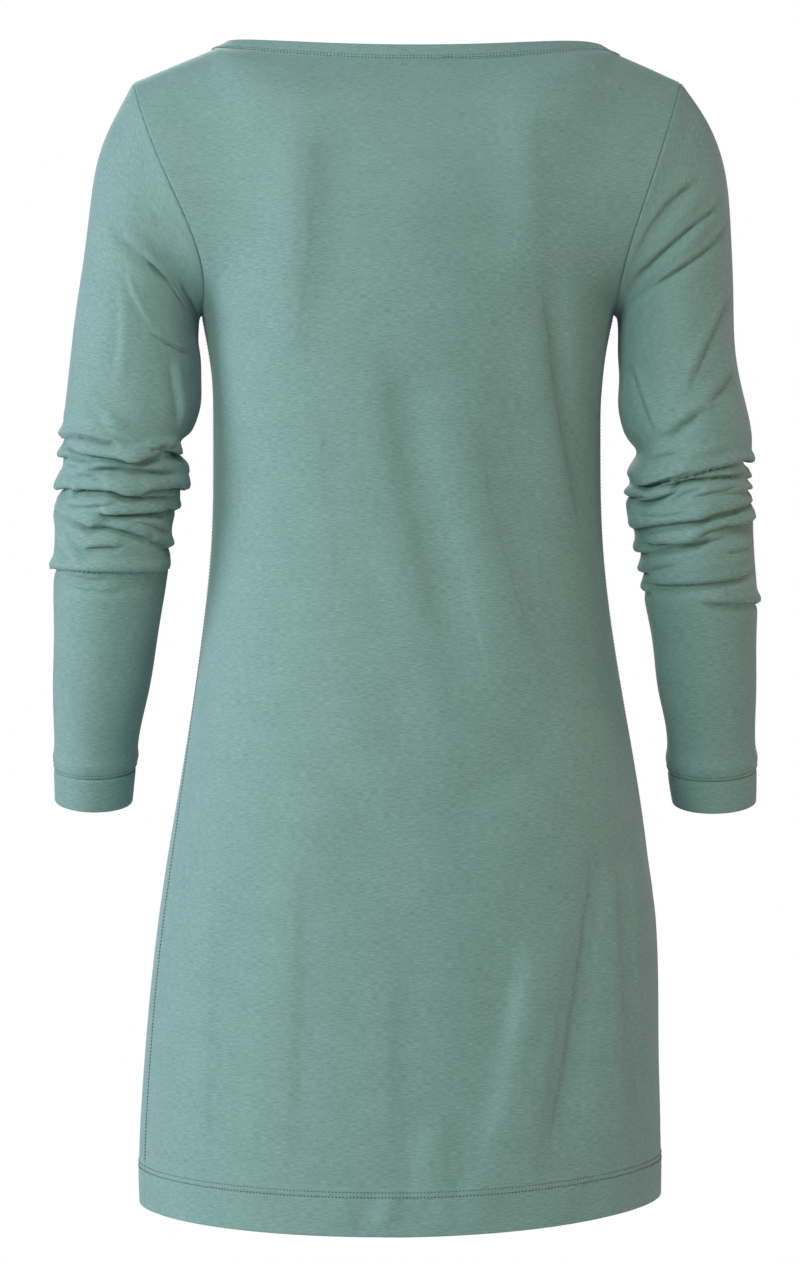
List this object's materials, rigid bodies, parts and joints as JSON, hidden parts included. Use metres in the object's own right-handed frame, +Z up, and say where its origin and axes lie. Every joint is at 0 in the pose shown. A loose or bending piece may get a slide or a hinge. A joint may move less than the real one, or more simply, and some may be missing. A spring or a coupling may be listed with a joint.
{
  "type": "shirt dress",
  "caption": "Knee-length jersey dress with long set-in sleeves, cuffs and a banded boat neck, kept in the hollow form it has when it is worn.",
  "frame": {"origin": "midway between the shoulders, level with the top of the neck seam, where the wearer holds the dress up", "axes": "+Z up, +Y the way the wearer faces, +X to the wearer's right, so the back of the dress faces -Y"},
  "size_m": [0.5291, 0.2517, 0.872],
  "materials": {
    "back_panel": "fine jersey knit, sage green with a faint heather, soft low sheen",
    "front_panel": "fine jersey knit, sage green with a faint heather, soft low sheen",
    "sleeve_left": "fine jersey knit, sage green with a faint heather, soft low sheen",
    "sleeve_right": "fine jersey knit, sage green with a faint heather, soft low sheen",
    "cuff_left": "fine jersey knit, sage green with a faint heather, soft low sheen",
    "cuff_right": "fine jersey knit, sage green with a faint heather, soft low sheen",
    "neck_band": "fine jersey knit, sage green with a faint heather, soft low sheen"
  },
  "bodies": {
    "root": {"back_panel": "back_panel", "front_panel": "front_panel", "sleeve_left": "sleeve_left", "sleeve_right": "sleeve_right", "cuff_left": "cuff_left", "cuff_right": "cuff_right", "neck_band": "neck_band"}
  },
  "joints": []
}
